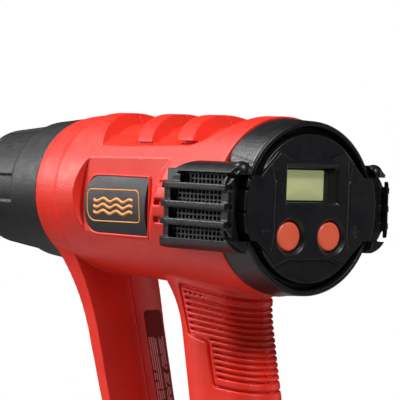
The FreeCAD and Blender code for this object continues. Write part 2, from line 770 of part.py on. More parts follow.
key_switches = []
for side in (1, -1):
    y = side * S["button_y"]
    low, high = (12.4, y - 3.0, S["button_z"] - 3.0), (BOARD_X, y + 3.0, S["button_z"] + 3.0)
    key_switches.append(block(f"key_switch_{side + 1}", low, high))
grouped("key_switches", *key_switches)

# cap, a flange that stops it falling out, and the stem that reaches for the key switch
BUTTON = [
    (-0.4, 0.0),
    (-0.4, "button_rad - 0.9"),
    (0.3, "button_rad"),
    (7.4, "button_rad"),
    (7.4, "button_rad + 1.3"),
    (8.4, "button_rad + 1.3"),
    (8.4, 1.8),
    (10.8, 1.8),
    (10.8, 0.0),
]
turned("minus_button", BUTTON, across="button_y", up="button_z")
turned("plus_button", BUTTON, across="0 - button_y", up="button_z")


# ---------------------------------------------------------------- nose: guard, outlet tube and heater
def nose_guard():
    """The black cone over the hot tube, with six shallow panels, a plug that enters the barrel and a lip."""
    panel_start, panel_end = 27.0, 60.5
    end = S["guard_len"]
    shoulder = S["guard_end_rad"]
    outline = [
        (-8.0, 32.9), (0.0, 32.9), (0.0, S["barrel_end_rad"] - 0.1), (24.5, 34.6), (panel_start, 33.0),
        (62.0, shoulder), (end - 1.0, shoulder - 2.1), (end, shoulder - 4.4), (end, 19.6), (end - 2.6, 19.6),
        (end - 2.6, 24.4), (61.0, shoulder - 2.9), (26.0, 29.9), (-8.0, 30.4),
    ]
    guard = Part.Face(wire(outline)).revolve(Vector(), Vector(*X), 360)
    band = [(panel_start, 40.0), (panel_start, 32.2), (panel_end, 29.0), (panel_end, 40.0)]
    ring = Part.Face(wire(band)).revolve(Vector(), Vector(*X), 360)
    for i in range(6):
        across = 6.9
        sector = slab((0.0, 20.0, -across), (80.0, 50.0, across))
        sector.rotate(Vector(), Vector(*X), 60.0 * i)
        guard = guard.cut(ring.common(sector))
    for i in range(12):
        slot = slab((end - 5.0, 21.2, -1.6), (end + 5.0, 23.6, 1.6))
        slot.rotate(Vector(), Vector(*X), 30.0 * i)
        guard = guard.cut(slot)
    return guard


shaped("nose_guard", nose_guard(), "barrel_end", "nose_lift")
turned("nozzle_tube", [
    ("barrel_end - 12.8", "nozzle_rad - nozzle_wall"),
    ("barrel_end - 12.8", "nozzle_rad + 0.4"),
    ("nozzle_tip - nozzle_free", "nozzle_rad + 0.4"),
    ("nozzle_tip - nozzle_free", "nozzle_rad"),
    ("nozzle_tip", "nozzle_rad"),
    ("nozzle_tip", "nozzle_rad - 1.6"),
    ("nozzle_tip - 0.8", "nozzle_rad - 1.6"),
    ("nozzle_tip - 0.8", "nozzle_rad - nozzle_wall"),
])
turned("mica_sleeve", [(152.0, 15.9), (152.0, 16.65), (246.0, 16.65), (246.0, 15.9)])

HEATER_REAR, HEATER_FRONT = 157.0, 240.0
COIL_RING = 9.0


def around(count, radius, first=0.0):
    """Centres evenly spaced on a circle about the motor axis, the first at the angle given."""
    angles = [math.radians(first + 360.0 * i / count) for i in range(count)]
    return [(radius * math.cos(a), S["nose_lift"] + radius * math.sin(a)) for a in angles]


def heater_former():
    """Three mica plates crossing on the axis, which carry the coils, with a tube for the thermocouple."""
    length = HEATER_FRONT - HEATER_REAR
    plates = []
    for angle in (30.0, 90.0, 150.0):
        plate = slab((HEATER_REAR, -15.4, -0.45), (HEATER_FRONT, 15.4, 0.45))
        plate.rotate(Vector(), Vector(*X), angle)
        plates.append(plate)
    star = rod((HEATER_REAR, 0, 0), X, 2.4, length).fuse(plates)
    return star.cut(rod((0, 0, 0), X, 1.1, 300.0))


def drilled_disc(rear, front, hole_rad):
    """A ceramic disc of the heater with an air hole at each coil and one for the thermocouple."""
    disc = rod((rear, 0, S["nose_lift"]), X, 15.8, front - rear)
    holes = [rod((rear - 1, y, z), X, hole_rad, 20.0) for y, z in around(6, COIL_RING)]
    return disc.cut(holes + [rod((rear - 1, 0, S["nose_lift"]), X, 1.1, 20.0)])


shaped("heater_former", heater_former(), up="nose_lift")
coils = []
for y, z in around(6, COIL_RING):
    tube = rod((HEATER_REAR + 1.0, y, z), X, 3.3, HEATER_FRONT - HEATER_REAR - 2.0)
    coils.append(tube.cut(rod((HEATER_REAR, y, z), X, 2.5, 90.0)))
shaped("heating_coils", Part.makeCompound(coils))
shaped("heater_base", drilled_disc(152.0, HEATER_REAR, 3.0))
shaped("heater_end_disc", drilled_disc(HEATER_FRONT, 241.4, 3.6))
turned("thermocouple", [(150.0, 0.0), (150.0, 1.05), (246.0, 1.05), (247.0, 0.0)])
place(cylinder("cutout_can", 3.0, 8.0), "thermal_cutout", "144", "0", "nose_lift + 10")


# ---------------------------------------------------------------- blower: duct, impeller, motor
def air_duct():
    """The funnel round the impeller that narrows to the outlet tube, with a flange in the barrel."""
    outline = [
        (78.0, 30.4), (78.0, 31.9), (102.0, 31.9), (116.0, 22.8), (142.0, 20.4), (158.0, 20.4),
        (158.0, 17.95), (150.0, 17.95), (150.0, 16.6), (142.0, 18.6), (116.0, 21.2), (102.0, 30.4),
    ]
    funnel = Part.Face(wire(outline)).revolve(Vector(), Vector(*X), 360)
    funnel.translate(Vector(0, 0, S["nose_lift"]))
    flange = rod((78.0, 0, 0), X, 45.0, 2.0).common(air_space())
    return funnel.fuse(flange).cut(rod((70.0, 0, S["nose_lift"]), X, 30.4, 30.0))


def impeller():
    """Nine pitched blades on a hub that is pressed on the motor shaft."""
    blades, hub_rad, pitch_angle = 9, 10.0, 38.0
    rear, length = S["fan_x"], S["fan_len"]
    middle = rear + length / 2
    blade = slab((middle - 12.0, 8.0, -0.7), (middle + 12.0, 40.0, 0.7))
    blade.rotate(Vector(middle, 0, 0), Vector(*Y), pitch_angle)
    fan = rod((rear, 0, 0), X, hub_rad, length)
    for i in range(blades):
        turn = blade.copy()
        turn.rotate(Vector(), Vector(*X), 360.0 / blades * i)
        fan = fan.fuse(turn)
    fan = fan.common(rod((rear, 0, 0), X, S["fan_rad"], length))
    return fan.cut([rod((0, 0, 0), X, S["shaft_rad"], 200.0), rod((rear - 1, 0, 0), X, 8.0, 9.0)])


def motor_mount():
    """A ring round the motor can with four arms to the barrel."""
    rear, length = 56.0, 8.0
    ring = rod((rear, 0, 0), X, 20.0, length)
    for angle in (20.0, 160.0, 215.0, 325.0):
        arm = slab((rear, 0.0, -2.5), (rear + length, 50.0, 2.5))
        arm.rotate(Vector(), Vector(*X), angle)
        ring = ring.fuse(arm)
    ring = ring.cut(rod((0, 0, 0), X, S["motor_rad"], 200.0))
    ring.translate(Vector(0, 0, S["nose_lift"]))
    return ring.common(air_space())


shaped("air_duct", air_duct())
shaped("impeller", impeller(), up="nose_lift")
shaped("motor_mount", motor_mount())
turned("motor_can", [
    ("0", "motor_rad - 1.2"),
    ("0", "motor_rad"),
    ("motor_len", "motor_rad"),
    ("motor_len", 4.0),
    ("motor_len - 2", 4.0),
    ("motor_len - 2", "motor_rad - 1.2"),
], along="motor_x")
turned("motor_end_cap", [
    (-3.0, 4.0),
    (-3.0, "motor_rad - 4"),
    (-1.0, "motor_rad"),
    ("0", "motor_rad"),
    ("0", "motor_rad - 1.2"),
    (2.0, "motor_rad - 1.2"),
    (2.0, 4.0),
], along="motor_x")
BEARING = [("0", "shaft_rad + 0.05"), ("0", 4.0), (3.0, 4.0), (3.0, "shaft_rad + 0.05")]
turned("bearing_rear", BEARING, along="motor_x - 2")
turned("bearing_front", BEARING, along="motor_x + motor_len - 3")
turned("motor_shaft", [("0", "0"), ("0", "shaft_rad"), (72.0, "shaft_rad"), (72.0, "0")], along="motor_x - 2")
turned("armature", [
    (4.0, "shaft_rad"),
    (4.0, 5.5),
    (10.0, 5.5),
    (10.0, 9.0),
    (12.0, 13.0),
    (32.0, 13.0),
    (35.0, 9.0),
    (37.0, 5.0),
    (37.0, "shaft_rad"),
], along="motor_x")


def motor_magnets():
    """Two curved magnets on opposite sides of the can."""
    inner, outer = 13.6, S["motor_rad"] - 1.2
    rear, length = S["motor_x"] + 8.0, 28.0
    ring = rod((rear, 0, 0), X, outer, length).cut(rod((rear, 0, 0), X, inner, length))
    return ring.cut(slab((0.0, -6.0, -30.0), (200.0, 6.0, 30.0)))


shaped("motor_magnets", motor_magnets(), up="nose_lift")
brushes = []
for side in (1, -1):
    z = S["nose_lift"] + side * 9.4
    low, high = (S["motor_x"] + 5.0, -2.0, z - 3.5), (S["motor_x"] + 9.0, 2.0, z + 3.5)
    brushes.append(block(f"brush_{side + 1}", low, high))
grouped("carbon_brushes", *brushes)


# ---------------------------------------------------------------- electronics
def screw(name, head_rad, head_len, rad, length, seat, toward):
    """A pan-head screw: its head's underside at seat, its shank running on toward a direction."""
    start = [a - head_len * b for a, b in zip(seat, toward)]
    head = cylinder(name + "_head", head_rad, head_len, *start, toward=toward)
    shank = cylinder(name + "_shank", rad, length, *seat, toward=toward)
    return fused(name, head, shank)


board = block("board", (24.0, -BOARD_HALF, BOARD_LOW), (74.0, BOARD_HALF, BOARD_HIGH))
place(board, "control_pcb", "24", str(-BOARD_HALF), str(BOARD_LOW))
parts_on_board = [
    cylinder("capacitor", 4.0, 14.0, 26.0, 8.0, BOARD_HIGH + 4.0),
    block("relay", (44.0, -14.0, BOARD_HIGH), (58.0, -3.0, BOARD_HIGH + 6.4)),
    cylinder("choke", 4.5, 5.6, 62.0, 10.0, BOARD_HIGH, toward=Z),
    block("chip", (45.0, 2.0, BOARD_HIGH), (55.0, 8.0, BOARD_HIGH + 1.6)),
]
for i in range(4):
    x, z = 28.0 + 4.0 * i, BOARD_HIGH + 1.3
    parts_on_board.append(cylinder(f"resistor_{i}", 1.2, 7.0, x, -15.0, z, toward=Y))
grouped("pcb_components", *parts_on_board)
TRIAC_LOW, SINK_TOP = BOARD_HIGH + 0.6, 30.4
triac = block("triac_case", (62.5, -9.0, TRIAC_LOW), (66.0, 1.0, SINK_TOP - 0.2))
place(triac, "triac", "62.5", "-9", str(TRIAC_LOW))
sink = [block("sink_plate", (66.0, -13.0, BOARD_HIGH), (67.5, 5.0, SINK_TOP))]
for i in range(6):
    y = -13.0 + 3.36 * i
    sink.append(block(f"sink_fin_{i}", (67.4, y, BOARD_HIGH), (73.0, y + 1.2, SINK_TOP)))
place(fused("finned_sink", *sink), "heat_sink")


def switch_body():
    """The slide switch's case, with ears that the two halves of the grip hold."""
    case = slab((-21.0, -8.0, -13.0), (-7.0, 8.0, 13.0))
    ears = slab((-16.0, -20.0, -12.0), (-13.0, 20.0, 12.0))
    return on_grip_front(case.fuse(ears)).common(grip(S["wall"]))


def switch_slider():
    """The thumb piece in its slot, on a wide flange that keeps the slot covered."""
    thumb = slab((-5.4, -5.9, -4.3), (2.4, 5.9, 4.3))
    flange = slab((-6.6, -7.4, -12.6), (-5.3, 7.4, 12.6))
    grooves = [slab((1.8, -6.0, 1.6 * i - 0.4), (3.0, 6.0, 1.6 * i + 0.4)) for i in (-2, -1, 0, 1, 2)]
    return on_grip_front(thumb.fuse(flange).cut(grooves))


shaped("switch_body", switch_body())
shaped("switch_slider", switch_slider())

terminal_case = block("terminal_case", (47.0, -8.0, -164.6), (65.0, 8.0, -155.0))
wire_holes = [cylinder(f"wire_hole_{i}", 1.8, 30.0, 40.0, y, -160.0) for i, y in enumerate((-4.0, 4.0))]
place(cut("terminal_drilled", terminal_case, fused("wire_holes", *wire_holes)), "terminal_block")

CORD_SADDLE = (21.0, 29.0)
saddle = block("saddle", (CORD_SADDLE[0], -11.0, -162.0), (CORD_SADDLE[1], 11.0, -152.0))
cord_hole = cylinder("cord_hole", "cable_rad", 20.0, 15.0, 0.0, GLAND_Z)
saddle_holes = [cord_hole]
clamp_screws = []
for i, y in enumerate((-7.5, 7.5)):
    saddle_holes.append(cylinder(f"saddle_hole_{i}", 1.3, 20.0, 25.0, y, -165.0, toward=Z))
    clamp_screws.append(screw(f"clamp_screw_{i}", 2.4, 1.6, 1.2, 13.0, (25.0, y, -152.0), (0, 0, -1)))
place(cut("saddle_drilled", saddle, fused("saddle_holes", *saddle_holes)), "cord_clamp")
grouped("clamp_screws", *clamp_screws)

# a tapered sleeve behind the base, a groove that grips the base's rear wall, and a bore for the cable
turned("cable_gland", [
    (-14.0, "cable_rad"),
    (-14.0, 4.9),
    (2.6, "gland_rad - 0.6"),
    (2.6, "gland_rad"),
    (13.6, "gland_rad"),
    (13.6, "cable_rad"),
], up="0 - 157")


# ---------------------------------------------------------------- plates, label and housing screws
def name_plate():
    """The thin plate in the left recess, with a round front end and a hollow rear edge along the grille."""
    outline = [
        (71.3, 11.3),
        (113.5, 11.3),
        (117.6, 9.8, 119.6, 7.5),
        (122.0, -2.5, 120.3, -11.3),
        (116.8, -15.2, 110.0, -16.5),
        (71.6, -16.5),
    ]
    plate = prism(outline, "y", S["flat_half"], S["flat_half"] + 1.0)
    behind = [(60.0, -20.0), (71.0, -20.0), (74.2, -3.5, 71.0, 14.0), (60.0, 14.0)]
    return plate.cut(prism(behind, "y", 30.0, 50.0))


def warning_label():
    """A sticker with round corners on the right half of the front leg, facing the hand."""
    thickness, corner = 0.25, 2.5
    left, right, top, bottom = -5.8, -19.2, -56.0, -112.0
    k = corner * (1 - math.sqrt(0.5))
    outline = [
        (left, bottom),
        (left, top - corner),
        (left - k, top - k, left - corner, top),
        (right + corner, top),
        (right + k, top - k, right, top - corner),
        (right, bottom),
    ]
    return leg(-thickness).cut(leg(0.0)).common(prism(outline, "x", 80.0, 132.0))


shaped("name_plate_left", name_plate())
shaped("name_plate_right", mirrored(name_plate()))
shaped("warning_label", biggest(warning_label()))
housing_screws = []
for i, (x, z, skin) in enumerate(SCREWS):
    seat = (x, 3.4 - skin, z)
    housing_screws.append(screw(f"housing_screw_{i}", HEAD_RAD, 2.2, SCREW_RAD, skin - 3.4 + 13.0, seat, Y))
grouped("housing_screws", *housing_screws)


# ---------------------------------------------------------------- check and export
doc.recompute()
faults = [o.Name for o in doc.Objects if {"Invalid", "Error"} & set(o.State)]
faults += [o.Label for o in SUBPARTS if o.Shape.isNull() or not o.Shape.isValid()]
if faults:
    raise RuntimeError("not sound: " + ", ".join(faults))
for obj in SUBPARTS:
    obj.Shape.exportStep(f"parts/{obj.Label}.step")
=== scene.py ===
import bmesh
import bpy
import json
import math
from mathutils import Matrix, Vector

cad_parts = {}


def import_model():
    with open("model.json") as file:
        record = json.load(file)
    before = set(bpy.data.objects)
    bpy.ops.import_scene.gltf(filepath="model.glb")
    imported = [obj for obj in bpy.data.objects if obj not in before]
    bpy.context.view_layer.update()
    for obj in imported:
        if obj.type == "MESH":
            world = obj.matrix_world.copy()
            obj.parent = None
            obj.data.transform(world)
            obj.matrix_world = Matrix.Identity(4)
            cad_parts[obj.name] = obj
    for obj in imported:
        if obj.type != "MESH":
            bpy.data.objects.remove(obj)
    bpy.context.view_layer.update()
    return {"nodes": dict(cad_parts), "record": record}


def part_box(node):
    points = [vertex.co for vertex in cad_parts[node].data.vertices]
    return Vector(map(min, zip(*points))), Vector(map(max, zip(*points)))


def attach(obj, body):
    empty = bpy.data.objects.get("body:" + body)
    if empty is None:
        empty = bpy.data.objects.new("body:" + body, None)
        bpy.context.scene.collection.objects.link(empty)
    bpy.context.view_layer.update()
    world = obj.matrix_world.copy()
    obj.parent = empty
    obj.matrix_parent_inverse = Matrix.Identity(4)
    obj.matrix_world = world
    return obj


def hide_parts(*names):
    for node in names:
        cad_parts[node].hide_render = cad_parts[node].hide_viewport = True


# Looks of the heat gun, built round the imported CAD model. Lengths are in metres, but at() and
# the values that go into it are in millimetres, laid out as in the part's own source: x along
# the barrel from the rear rim, y to the left, z up from the rim's centre.
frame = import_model()
MM = 0.001
NODES = frame["nodes"]
RECORD = frame["record"]
SLOT_OF = {entry["node"]: entry["material_slot"] for entry in RECORD["subparts"]}
BODY_OF = {node: body for body, nodes in RECORD["behaviour"]["bodies"].items() for node in nodes}
AXIS_HEIGHT, BASE_CENTRE = 168.0, 58.0


def at(x, y, z):
    return Vector((x - BASE_CENTRE, y, z + AXIS_HEIGHT)) * MM


# ---------------------------------------------------------------- material helpers
class Shader:
    """A Principled material with short ways to add procedural detail to it."""

    def __init__(self, name, colour, roughness, metallic=0.0):
        self.material = bpy.data.materials.new(name)
        self.material.use_nodes = True
        self.tree = self.material.node_tree
        self.bsdf = self.tree.nodes["Principled BSDF"]
        self.height = None
        self.set("Base Color", (*colour, 1.0))
        self.set("Roughness", roughness)
        self.set("Metallic", metallic)

    def set(self, socket, value):
        """One value for the whole surface."""
        self.bsdf.inputs[socket].default_value = value

    def vary(self, socket, source):
        """A value that changes over the surface."""
        self.link(source, self.bsdf.inputs[socket])

    def node(self, kind, **inputs):
        made = self.tree.nodes.new(kind)
        for name, value in inputs.items():
            made.inputs[name.replace("_", " ")].default_value = value
        return made

    def link(self, source, target):
        self.tree.links.new(source, target)

    def place(self, stretch=(1.0, 1.0, 1.0)):
        """Object coordinates, stretched along each axis."""
        coordinates = self.node("ShaderNodeTexCoord")
        mapping = self.node("ShaderNodeMapping", Scale=stretch)
        self.link(coordinates.outputs["Object"], mapping.inputs["Vector"])
        return mapping.outputs["Vector"]

    def axes(self):
        """Object coordinates as the three sockets X, Y and Z."""
        split = self.node("ShaderNodeSeparateXYZ")
        self.link(self.place(), split.inputs["Vector"])
        return split.outputs

    def noise(self, scale, detail=3.0, stretch=(1.0, 1.0, 1.0)):
        texture = self.node("ShaderNodeTexNoise", Scale=scale, Detail=detail)
        self.link(self.place(stretch), texture.inputs["Vector"])
        return texture.outputs["Fac"]

    def cells(self, scale):
        texture = self.node("ShaderNodeTexVoronoi", Scale=scale)
        self.link(self.place(), texture.inputs["Vector"])
        return texture.outputs["Distance"]

    def compute(self, operation, *values):
        """The result of a Math node, from sockets and plain numbers."""
        step = self.node("ShaderNodeMath")
        step.operation = operation
        for socket, value in zip(step.inputs, values):
            if isinstance(value, float):
                socket.default_value = value
            else:
                self.link(value, socket)
        return step.outputs["Value"]

    def remap(self, factor, from_low, from_high, to_low, to_high):
        spread = self.node("ShaderNodeMapRange", From_Min=from_low, From_Max=from_high,
                           To_Min=to_low, To_Max=to_high)
        self.link(factor, spread.inputs["Value"])
        return spread.outputs["Result"]

    def ramp(self, factor, stops):
        """A colour ramp through (position, colour) stops."""
        ramp = self.node("ShaderNodeValToRGB")
        elements = ramp.color_ramp.elements
        while len(elements) < len(stops):
            elements.new(0.5)
        for element, (position, colour) in zip(elements, stops):
            element.position = position
            element.color = (*colour, 1.0)
        self.link(factor, ramp.inputs["Fac"])
        return ramp.outputs["Color"]

    def colour_from(self, factor, dark, light):
        """Noise, which mostly lies from 0.3 to 0.7, as a change of colour."""
        self.vary("Base Color", self.ramp(factor, [(0.3, dark), (0.7, light)]))

    def roughness_from(self, factor, low, high):
        self.vary("Roughness", self.remap(factor, 0.3, 0.7, low, high))

    def bump(self, factor, depth):
        """Adds a height, in metres, to the surface's normal."""
        bump = self.node("ShaderNodeBump", Strength=1.0, Distance=depth)
        self.link(factor, bump.inputs["Height"])
        if self.height is not None:
            self.link(self.height, bump.inputs["Normal"])
        self.height = bump.outputs["Normal"]
        self.vary("Normal", self.height)


def tint(colour, factor):
    return tuple(min(1.0, channel * factor) for channel in colour)


# ---------------------------------------------------------------- materials
def moulded_plastic(name, colour, roughness, grain_depth, grain_scale=1700.0, variation=0.08,
                    specular=0.5):
    """Spark-eroded mould finish: fine grain, faint flow clouds and uneven gloss."""
    made = Shader(name, colour, roughness)
    made.set("Specular IOR Level", specular)
    made.colour_from(made.noise(45.0, 4.0), tint(colour, 1 - variation), tint(colour, 1 + variation))
    made.roughness_from(made.noise(160.0, 5.0), roughness - 0.05, roughness + 0.06)
    made.bump(made.noise(grain_scale, 2.0), grain_depth)
    made.bump(made.cells(grain_scale * 0.6), grain_depth * 0.6)
    return made.material


def satin_plastic(name, colour, roughness):
    made = Shader(name, colour, roughness)
    made.colour_from(made.noise(70.0), tint(colour, 0.95), tint(colour, 1.05))
    made.roughness_from(made.noise(300.0), roughness - 0.04, roughness + 0.04)
    made.bump(made.noise(900.0, 2.0), 0.000012)
    return made.material


def brushed_metal(name, colour, roughness, along="x"):
    """Fine lines along one axis, with patches of duller metal."""
    made = Shader(name, colour, roughness, metallic=1.0)
    stretch = tuple(0.02 if axis == along else 1.0 for axis in "xyz")
    lines = made.noise(2500.0, 3.0, stretch)
    made.colour_from(lines, tint(colour, 0.85), tint(colour, 1.1))
    made.roughness_from(lines, roughness - 0.08, roughness + 0.1)
    made.bump(lines, 0.000015)
    return made.material


def mottled(name, colour, roughness, scale, depth, variation=0.2):
    """Mica, ceramic, ferrite and the like: clouded colour over a rough skin."""
    made = Shader(name, colour, roughness)
    clouds = made.noise(scale, 6.0)
    made.colour_from(clouds, tint(colour, 1 - variation), tint(colour, 1 + variation))
    made.roughness_from(made.noise(scale * 4), roughness - 0.08, roughness + 0.08)
    made.bump(made.noise(scale * 8, 4.0), depth)
    return made.material


STEEL = (0.56, 0.55, 0.53)
HEAT_BANDS = [
    (0.15, STEEL),
    (0.45, (0.60, 0.50, 0.36)),
    (0.70, (0.45, 0.28, 0.20)),
    (0.90, (0.22, 0.22, 0.34)),
    (1.00, (0.30, 0.31, 0.34)),
]


def heat_tinted_steel():
    """Drawn tube whose front end has turned straw, brown and blue with heat."""
    made = Shader("outlet_tube_steel", STEEL, 0.28, metallic=1.0)
    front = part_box("nozzle_tube")[1].x
    heated = 45 * MM
    along = made.remap(made.axes()["X"], front - heated, front, 0.0, 1.0)
    wander = made.compute("MULTIPLY_ADD", made.noise(90.0), 0.25, along)
    made.vary("Base Color", made.ramp(wander, HEAT_BANDS))
    lines = made.noise(2600.0, 3.0, (0.02, 1.0, 1.0))
    made.roughness_from(lines, 0.2, 0.38)
    made.bump(lines, 0.000015)
    return made.material


def circuit_board():
    """Green solder mask over faint copper tracks."""
    mask = (0.02, 0.17, 0.07)
    made = Shader("board_mask", mask, 0.3)
    tracks = made.node(
        "ShaderNodeTexBrick", Scale=160.0, Mortar_Size=0.03,
        Color1=(0.015, 0.14, 0.055, 1.0), Color2=(*mask, 1.0), Mortar=(0.05, 0.26, 0.10, 1.0),
    )
    made.link(made.place(), tracks.inputs["Vector"])
    made.vary("Base Color", tracks.outputs["Color"])
    made.bump(tracks.outputs["Fac"], 0.00003)
    return made.material


def clear_window():
    made = Shader("window_clear", (0.10, 0.11, 0.10), 0.06)
    made.set("Alpha", 0.08)
    made.bump(made.noise(60.0, 2.0), 0.000004)
    return made.material


def painted_glow_display():
    """The grey-green face of the display, with a faint painted glow that brightens it in the shade of
    the rear face.
    """
    green = (0.50, 0.53, 0.26)
    made = Shader("display_painted_glow", green, 0.3)
    # Painted glow: this emission stands in for light that the shaded rear face does not get.
    made.set("Emission Color", (*green, 1.0))
    made.set("Emission Strength", 0.45)
    made.colour_from(made.noise(70.0), (0.47, 0.50, 0.245), (0.53, 0.56, 0.275))
    made.bump(made.noise(900.0, 2.0), 0.000008)
    return made.material


LABEL_RED, LABEL_INK = (0.22, 0.009, 0.011), (0.90, 0.42, 0.42)


def printed_label():
    """A dark red film: a plain patch above, and below it two columns of broken light bars."""
    made = Shader("label_film", LABEL_RED, 0.5)
    made.set("Specular IOR Level", 0.08)
    low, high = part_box("warning_label")
    position = made.axes()
    across, up = position["Y"], position["Z"]
    bar_pitch, top_patch, margin = 1.5 * MM, 13.0 * MM, 1.0 * MM
    gutter, gutter_half = -12.6 * MM, 0.5 * MM
    phase = made.compute("FRACT", made.compute("DIVIDE", across, bar_pitch))
    bars = made.compute("GREATER_THAN", phase, 0.42)
    words = made.compute("GREATER_THAN", made.noise(420.0, 1.0, (0.4, 0.4, 1.0)), 0.38)
    below_patch = made.compute("LESS_THAN", up, high.z - top_patch)
    from_gutter = made.compute("ABSOLUTE", made.compute("SUBTRACT", across, gutter))
    in_column = made.compute("GREATER_THAN", from_gutter, gutter_half)
    off_edge = made.compute("GREATER_THAN", across, low.y + margin)
    ink = bars
    for mask in (words, below_patch, in_column, off_edge):
        ink = made.compute("MULTIPLY", ink, mask)
    made.vary("Base Color", made.ramp(ink, [(0.4, LABEL_RED), (0.6, LABEL_INK)]))
    made.bump(ink, 0.00001)
    return made.material


RED = (0.82, 0.026, 0.011)
BLACK = (0.007, 0.0075, 0.009)
GLASS = (0.011, 0.0115, 0.013)
PLATE_BLACK = (0.009, 0.010, 0.014)
RUBBER = (0.022, 0.022, 0.022)
MATERIALS = {
    "red_plastic": moulded_plastic("red_moulded", RED, 0.44, 0.00006),
    "black_plastic": moulded_plastic("black_moulded", BLACK, 0.36, 0.00006, 1700.0, 0.15, 0.45),
    "black_heat_plastic": moulded_plastic("black_glass_filled", GLASS, 0.5, 0.00008, 1300.0, 0.2),
    "orange_button": satin_plastic("button_orange", (1.0, 0.15, 0.075), 0.38),
    "window": clear_window(),
    "lcd": satin_plastic("display_frame", (0.018, 0.02, 0.018), 0.35),
    "circuit_board": circuit_board(),
    "components": satin_plastic("component_black", (0.03, 0.03, 0.035), 0.35),
    "steel": brushed_metal("steel_brushed", STEEL, 0.3),
    "screw_steel": brushed_metal("screw_black_zinc", (0.16, 0.16, 0.17), 0.32, "z"),
    "wire_mesh": satin_plastic("mesh_black", (0.085, 0.086, 0.088), 0.35),
    "mica": mottled("mica_sheet", (0.50, 0.42, 0.28), 0.5, 220.0, 0.00002),
    "ceramic": mottled("ceramic_white", (0.74, 0.70, 0.62), 0.6, 150.0, 0.00003, 0.08),
    "heating_wire": brushed_metal("wire_oxidised", (0.22, 0.19, 0.17), 0.45),
    "aluminium": brushed_metal("aluminium_extruded", (0.72, 0.72, 0.74), 0.32),
    "brass": brushed_metal("brass_turned", (0.70, 0.50, 0.23), 0.28),
    "rotor": brushed_metal("rotor_copper", (0.52, 0.26, 0.12), 0.35),
    "magnet": mottled("ferrite", (0.05, 0.05, 0.055), 0.6, 300.0, 0.00003),
    "carbon": mottled("brush_carbon", (0.03, 0.03, 0.03), 0.7, 400.0, 0.00003),
    "white_nylon": mottled("nylon_natural", (0.66, 0.64, 0.58), 0.45, 90.0, 0.00001, 0.06),
    "gland_rubber": moulded_plastic("rubber_black", RUBBER, 0.62, 0.00005, 1500.0, 0.2),
    "plate": moulded_plastic("plate_black", PLATE_BLACK, 0.44, 0.00009, 2400.0, 0.2),
    "label": printed_label(),
}
DISPLAY_PAINTED_GLOW = painted_glow_display()
FOAM = mottled("filter_foam", (0.004, 0.004, 0.004), 0.9, 500.0, 0.00005)
ORANGE_PRINT = satin_plastic("print_orange", (0.95, 0.33, 0.04), 0.4)


# ---------------------------------------------------------------- mesh helpers
def finished(obj, slot, body, *stands_for, material=None):
    """Gives a piece its material, its body and the CAD nodes that it stands for."""
    obj.data.materials.clear()
    obj.data.materials.append(material or MATERIALS[slot])
    for polygon in obj.data.polygons:
        polygon.use_smooth = True
    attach(obj, body)
    if stands_for:
        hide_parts(*stands_for)
    return obj


def new_object(name, data):
    obj = bpy.data.objects.new(name, data)
    bpy.context.scene.collection.objects.link(obj)
    return obj


def mesh_object(name, points, faces):
    mesh = bpy.data.meshes.new(name)
    mesh.from_pydata([tuple(point) for point in points], [], faces)
    mesh.update()
    return new_object(name, mesh)


def joined(name, objects):
    """One object from several, which go away."""
    whole = bmesh.new()
    for obj in objects:
        whole.from_mesh(obj.data)
        bpy.data.objects.remove(obj)
    mesh = bpy.data.meshes.new(name)
    whole.to_mesh(mesh)
    whole.free()
    return new_object(name, mesh)


def rounded(corners, radii, steps=8):
    """A closed path round a polygon's corners, each rounded off by its radius."""
    path = []
    for i, (corner, radius) in enumerate(zip(corners, radii)):
        here = Vector(corner)
        before, after = Vector(corners[i - 1]), Vector(corners[(i + 1) % len(corners)])
        start = here + (before - here).normalized() * radius
        finish = here + (after - here).normalized() * radius
        for step in range(steps + 1):
            t = step / steps
            path.append(start * (1 - t) ** 2 + here * 2 * t * (1 - t) + finish * t**2)
    return path


def heading(path, i, closed):
    """The direction of a path at one of its points."""
    before = path[i - 1] if closed or i else path[i]
    after = path[(i + 1) % len(path)] if closed or i < len(path) - 1 else path[i]
    return (after - before).normalized()


def skin(rings, size, closed, strips):
    """Faces along a run of rings, with so many strips between rings and capped unless closed."""
    faces = []
    for i in range(rings if closed else rings - 1):
        here, there = i * size, (i + 1) % rings * size
        for k in range(strips):
            n = (k + 1) % size
            faces.append((here + k, here + n, there + n, there + k))
    if not closed:
        faces.append(tuple(reversed(range(size))))
        faces.append(tuple(range((rings - 1) * size, rings * size)))
    return faces


def swept(name, path, radius, sides=10, closed=False):
    """A round wire or bead of even radius along a path of points."""
    points = []
    side = None
    for i, centre in enumerate(path):
        along = heading(path, i, closed)
        side = side or along.orthogonal().normalized()
        side = (side - along * side.dot(along)).normalized()
        up = along.cross(side)
        for k in range(sides):
            angle = 2 * math.pi * k / sides
            points.append(centre + radius * (math.cos(angle) * side + math.sin(angle) * up))
    return mesh_object(name, points, skin(len(path), sides, closed, sides))


def baked(obj):
    """The object with its modifiers applied."""
    depsgraph = bpy.context.evaluated_depsgraph_get()
    mesh = bpy.data.meshes.new_from_object(obj.evaluated_get(depsgraph))
    obj.modifiers.clear()
    obj.data = mesh
    return obj


MOST_TRIANGLES = 190000


def moulded(node, voxel, passes):
    """A moulded copy of a CAD node: the same solid, its hard edges rounded off by about a voxel."""
    obj = new_object(node + "_moulded", NODES[node].data.copy())
    remesh = obj.modifiers.new("skin", "REMESH")
    remesh.mode = "VOXEL"
    remesh.voxel_size = voxel
    smooth = obj.modifiers.new("round", "SMOOTH")
    smooth.factor = 0.5
    smooth.iterations = passes
    baked(obj)
    triangles = 2 * len(obj.data.polygons)
    if triangles > MOST_TRIANGLES:
        thin = obj.modifiers.new("thin", "DECIMATE")
        thin.ratio = MOST_TRIANGLES / triangles
        baked(obj)
    return finished(obj, SLOT_OF[node], BODY_OF[node], node)


